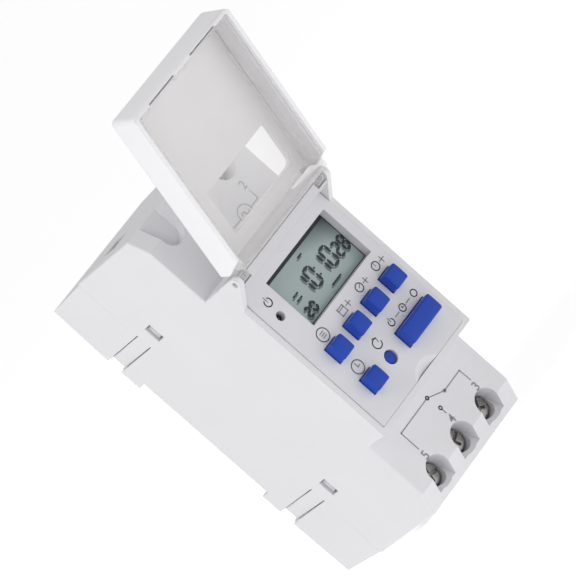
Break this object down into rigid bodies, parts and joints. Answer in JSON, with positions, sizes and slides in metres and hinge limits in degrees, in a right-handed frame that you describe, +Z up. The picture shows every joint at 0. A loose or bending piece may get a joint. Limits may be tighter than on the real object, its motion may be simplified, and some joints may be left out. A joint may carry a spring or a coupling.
{
  "type": "rail-mounted time switch",
  "caption": "Slim rail-mounted time switch with a hinged front lid, display window, push keys and screw terminals.",
  "frame": {"origin": "centre of the face that rests on the front of the mounting rail", "axes": "+X right as a reader faces the keys, +Y back towards the wall, +Z up along the lid's open direction"},
  "size_m": [0.036, 0.0769, 0.1081],
  "materials": {
    "case_plastic": "fine moulded grain, light warm grey",
    "base_plastic": "fine moulded grain, mid grey",
    "clip_plastic": "smooth moulded, dark grey",
    "spring_steel": "drawn wire",
    "panel_plastic": "satin moulded, white",
    "lcd_glass": "polished with a grey-green cast",
    "reflector_film": "satin grey-green film",
    "holder_plastic": "black moulded",
    "contact_rubber": "soft layered rubber",
    "lamp_lens": "tinted clear, red",
    "lid_plastic": "satin to gloss moulded, white",
    "liner_plastic": "clear, faint smoke tint",
    "board_laminate": "green solder mask",
    "barrier_film": "milky insulating film",
    "screw_steel": "zinc plated",
    "contact_brass": "bright stamped",
    "cage_steel": "zinc plated, yellow passivated",
    "key_plastic": "satin moulded, blue",
    "black_moulding": "black epoxy",
    "can_metal": "nickel plated",
    "capacitor_case": "boxed, yellow",
    "can_sleeve": "shrunk sleeve",
    "varistor_coat": "dipped, blue",
    "resistor_coat": "cement coat",
    "relay_moulding": "moulded, near black",
    "relay_iron": "plated soft iron",
    "coil_wire": "enamelled copper under tape"
  },
  "bodies": {
    "case": {"backup_cell": "can_metal", "barrier_sheet": "barrier_film", "board_screws": "screw_steel", "clip_spring": "spring_steel", "contact_bars": "contact_brass", "crystal": "can_metal", "display_board": "board_laminate", "electrolytic_capacitors": "can_sleeve", "film_capacitor": "capacitor_case", "fixed_contact": "contact_brass", "front_panel": "panel_plastic", "fuse_resistor": "resistor_coat", "housing": "case_plastic", "lcd_glass": "lcd_glass", "lcd_holder": "holder_plastic", "lcd_reflector": "reflector_film", "microcontroller": "black_moulding", "power_board": "board_laminate", "push_switches": "black_moulding", "rear_base": "base_plastic", "rectifier_diodes": "black_moulding", "relay_base": "relay_moulding", "relay_coil": "coil_wire", "relay_core": "relay_iron", "relay_cover": "relay_moulding", "relay_yoke": "relay_iron", "riser_board": "board_laminate", "status_led": "lamp_lens", "varistor": "varistor_coat", "zebra_strips": "contact_rubber"},
    "program_button": {"program_key": "key_plastic", "program_plunger": "black_moulding"},
    "day_button": {"day_key": "key_plastic", "day_plunger": "black_moulding"},
    "hour_button": {"hour_key": "key_plastic", "hour_plunger": "black_moulding"},
    "minute_button": {"minute_key": "key_plastic", "minute_plunger": "black_moulding"},
    "clock_button": {"clock_key": "key_plastic", "clock_plunger": "black_moulding"},
    "manual_button": {"manual_key": "key_plastic", "manual_plunger": "black_moulding"},
    "reset_button": {"reset_key": "key_plastic", "reset_plunger": "black_moulding"},
    "screw_1": {"terminal_screw_1": "screw_steel"},
    "cage_1": {"terminal_cage_1": "cage_steel"},
    "screw_2": {"terminal_screw_2": "screw_steel"},
    "cage_2": {"terminal_cage_2": "cage_steel"},
    "screw_3": {"terminal_screw_3": "screw_steel"},
    "cage_3": {"terminal_cage_3": "cage_steel"},
    "screw_4": {"terminal_screw_4": "screw_steel"},
    "cage_4": {"terminal_cage_4": "cage_steel"},
    "screw_5": {"terminal_screw_5": "screw_steel"},
    "cage_5": {"terminal_cage_5": "cage_steel"},
    "lid": {"lid_frame": "lid_plastic", "lid_liner": "liner_plastic"},
    "rail_clip": {"din_clip": "clip_plastic"},
    "armature": {"relay_armature": "relay_iron", "moving_contact": "contact_brass"}
  },
  "joints": [
    {"name": "lid_hinge", "type": "hinge", "parent": "case", "child": "lid", "pos_m": [0, -0.0531, 0.0215], "axis": [1, 0, 0], "range_deg": [0, 158]},
    {"name": "program_press", "type": "slide", "parent": "case", "child": "program_button", "axis": [0, 1, 0], "range_m": [0, 0.0005], "stiffness_N_per_m": 1200, "springref_m": -0.0002},
    {"name": "day_press", "type": "slide", "parent": "case", "child": "day_button", "axis": [0, 1, 0], "range_m": [0, 0.0005], "stiffness_N_per_m": 1200, "springref_m": -0.0002},
    {"name": "hour_press", "type": "slide", "parent": "case", "child": "hour_button", "axis": [0, 1, 0], "range_m": [0, 0.0005], "stiffness_N_per_m": 1200, "springref_m": -0.0002},
    {"name": "minute_press", "type": "slide", "parent": "case", "child": "minute_button", "axis": [0, 1, 0], "range_m": [0, 0.0005], "stiffness_N_per_m": 1200, "springref_m": -0.0002},
    {"name": "clock_press", "type": "slide", "parent": "case", "child": "clock_button", "axis": [0, 1, 0], "range_m": [0, 0.0005], "stiffness_N_per_m": 1200, "springref_m": -0.0002},
    {"name": "manual_press", "type": "slide", "parent": "case", "child": "manual_button", "axis": [0, 1, 0], "range_m": [0, 0.0005], "stiffness_N_per_m": 1200, "springref_m": -0.0002},
    {"name": "reset_press", "type": "slide", "parent": "case", "child": "reset_button", "axis": [0, 1, 0], "range_m": [0, 0.0005], "stiffness_N_per_m": 1200, "springref_m": -0.0002},
    {"name": "screw_1_turn", "type": "hinge", "parent": "case", "child": "screw_1", "pos_m": [-0.0103, -0.036, 0.0375], "axis": [0, 1, 0], "range_deg": [0, 2600]},
    {"name": "cage_1_rise", "type": "slide", "parent": "case", "child": "cage_1", "axis": [0, -1, 0], "range_m": [0, 0.0036]},
    {"name": "screw_2_turn", "type": "hinge", "parent": "case", "child": "screw_2", "pos_m": [0.0103, -0.036, 0.0375], "axis": [0, 1, 0], "range_deg": [0, 2600]},
    {"name": "cage_2_rise", "type": "slide", "parent": "case", "child": "cage_2", "axis": [0, -1, 0], "range_m": [0, 0.0036]},
    {"name": "screw_3_turn", "type": "hinge", "parent": "case", "child": "screw_3", "pos_m": [0.0103, -0.036, -0.0375], "axis": [0, 1, 0], "range_deg": [0, 2600]},
    {"name": "cage_3_rise", "type": "slide", "parent": "case", "child": "cage_3", "axis": [0, -1, 0], "range_m": [0, 0.0036]},
    {"name": "screw_4_turn", "type": "hinge", "parent": "case", "child": "screw_4", "pos_m": [0, -0.036, -0.0375], "axis": [0, 1, 0], "range_deg": [0, 2600]},
    {"name": "cage_4_rise", "type": "slide", "parent": "case", "child": "cage_4", "axis": [0, -1, 0], "range_m": [0, 0.0036]},
    {"name": "screw_5_turn", "type": "hinge", "parent": "case", "child": "screw_5", "pos_m": [-0.0103, -0.036, -0.0375], "axis": [0, 1, 0], "range_deg": [0, 2600]},
    {"name": "cage_5_rise", "type": "slide", "parent": "case", "child": "cage_5", "axis": [0, -1, 0], "range_m": [0, 0.0036]},
    {"name": "clip_slide", "type": "slide", "parent": "case", "child": "rail_clip", "axis": [0, 0, -1], "range_m": [0, 0.004], "stiffness_N_per_m": 1500, "springref_m": -0.002, "deforming": ["clip_spring"]},
    {"name": "armature_pull", "type": "hinge", "parent": "case", "child": "armature", "pos_m": [-0.0076, -0.01244, 0.0049], "axis": [1, 0, 0], "range_deg": [0, 5], "stiffness_Nm_per_rad": 0.02, "springref_deg": -2.86}
  ],
  "couplings": [
    {"joint": "screw_1_turn", "follows": "cage_1_rise", "rad_per_m": 12566},
    {"joint": "screw_2_turn", "follows": "cage_2_rise", "rad_per_m": 12566},
    {"joint": "screw_3_turn", "follows": "cage_3_rise", "rad_per_m": 12566},
    {"joint": "screw_4_turn", "follows": "cage_4_rise", "rad_per_m": 12566},
    {"joint": "screw_5_turn", "follows": "cage_5_rise", "rad_per_m": 12566}
  ]
}
